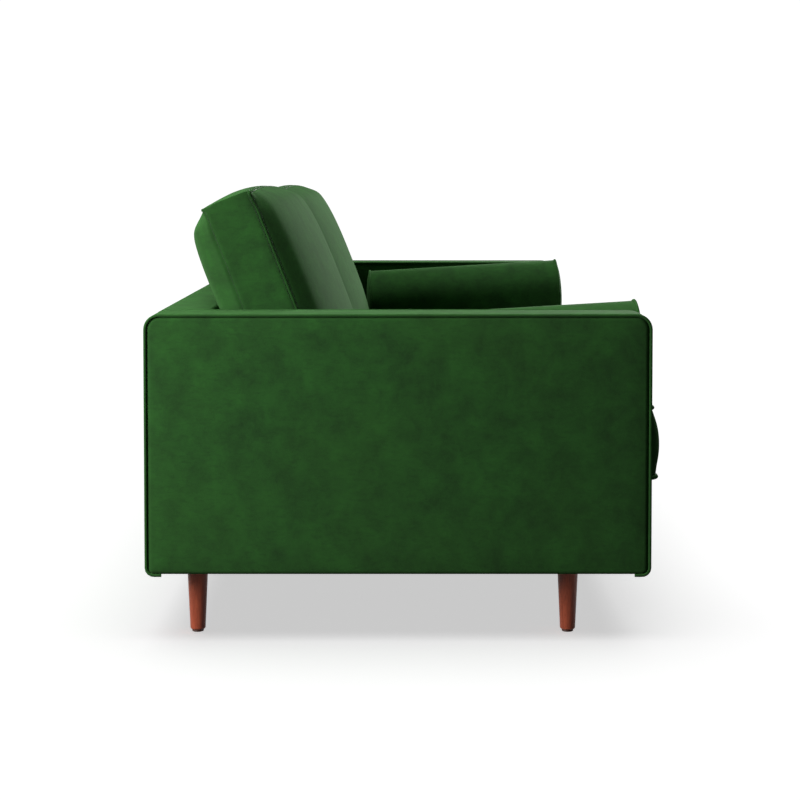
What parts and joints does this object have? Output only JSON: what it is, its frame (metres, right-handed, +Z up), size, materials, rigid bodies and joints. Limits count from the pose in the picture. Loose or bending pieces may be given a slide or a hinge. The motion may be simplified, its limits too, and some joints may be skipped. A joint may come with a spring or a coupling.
{
  "type": "sofa",
  "caption": "velvet-covered sofa on turned wooden legs, with slab arms, a long welted seat cushion, loose boxed back cushions and round bolsters",
  "frame": {"origin": "on the floor, under the middle of the sofa's overall box", "axes": "+X along the width, -Y out of the front of the seat, +Z up"},
  "size_m": [2.235, 0.974, 0.8493],
  "materials": {
    "cover_velvet": "matte",
    "cushion_velvet": "matte",
    "leg_wood": "satin",
    "frame_wood": "matte",
    "spring_steel": "satin",
    "bolt_steel": "satin",
    "glide_plastic": "matte",
    "lining": "matte"
  },
  "bodies": {
    "frame": {"leg_front_left": "leg_wood", "glide_front_left": "glide_plastic", "leg_bolt_front_left": "bolt_steel", "leg_front_right": "leg_wood", "glide_front_right": "glide_plastic", "leg_bolt_front_right": "bolt_steel", "leg_rear_left": "leg_wood", "glide_rear_left": "glide_plastic", "leg_bolt_rear_left": "bolt_steel", "leg_rear_right": "leg_wood", "glide_rear_right": "glide_plastic", "leg_bolt_rear_right": "bolt_steel", "leg_centre": "leg_wood", "glide_centre": "glide_plastic", "leg_bolt_centre": "bolt_steel", "arm_left_front_post": "frame_wood", "arm_left_rear_post": "frame_wood", "arm_left_top_rail": "frame_wood", "arm_left_bottom_rail": "frame_wood", "arm_left_outer_panel": "cover_velvet", "arm_left_inner_panel": "cover_velvet", "arm_left_band": "cover_velvet", "arm_bolt_left_front": "bolt_steel", "arm_bolt_left_rear": "bolt_steel", "seat_left_rail": "frame_wood", "seat_spring_left_1": "spring_steel", "seat_spring_left_2": "spring_steel", "seat_spring_left_3": "spring_steel", "seat_spring_left_4": "spring_steel", "back_upright_left": "frame_wood", "arm_right_front_post": "frame_wood", "arm_right_rear_post": "frame_wood", "arm_right_top_rail": "frame_wood", "arm_right_bottom_rail": "frame_wood", "arm_right_outer_panel": "cover_velvet", "arm_right_inner_panel": "cover_velvet", "arm_right_band": "cover_velvet", "arm_bolt_right_front": "bolt_steel", "arm_bolt_right_rear": "bolt_steel", "seat_right_rail": "frame_wood", "seat_spring_right_1": "spring_steel", "seat_spring_right_2": "spring_steel", "seat_spring_right_3": "spring_steel", "seat_spring_right_4": "spring_steel", "back_upright_right": "frame_wood", "seat_front_rail": "frame_wood", "seat_rear_rail": "frame_wood", "seat_centre_rail": "frame_wood", "back_top_rail": "frame_wood", "back_upright_centre": "frame_wood", "back_inner_pad": "cover_velvet", "back_outer_cover": "cover_velvet", "deck_cover": "lining", "front_rail_cover": "cover_velvet", "dust_cover": "lining"},
    "seat_cushion": {"seat_cushion": "cushion_velvet"},
    "back_cushion_left": {"back_cushion_left": "cushion_velvet"},
    "back_cushion_right": {"back_cushion_right": "cushion_velvet"},
    "bolster_left": {"bolster_left": "cushion_velvet"},
    "bolster_right": {"bolster_right": "cushion_velvet"}
  },
  "joints": [
    {"name": "seat_lift", "type": "slide", "parent": "frame", "child": "seat_cushion", "axis": [0, 0, 1], "range_m": [0, 0.4]},
    {"name": "back_cushion_left_lift", "type": "slide", "parent": "seat_cushion", "child": "back_cushion_left", "axis": [0, 0.3649, 0.9311], "range_m": [0, 0.25]},
    {"name": "back_cushion_right_lift", "type": "slide", "parent": "seat_cushion", "child": "back_cushion_right", "axis": [0, 0.3649, 0.9311], "range_m": [0, 0.25]},
    {"name": "bolster_left_lift", "type": "slide", "parent": "seat_cushion", "child": "bolster_left", "axis": [0, 0, 1], "range_m": [0, 0.25]},
    {"name": "bolster_right_lift", "type": "slide", "parent": "seat_cushion", "child": "bolster_right", "axis": [0, 0, 1], "range_m": [0, 0.25]}
  ]
}
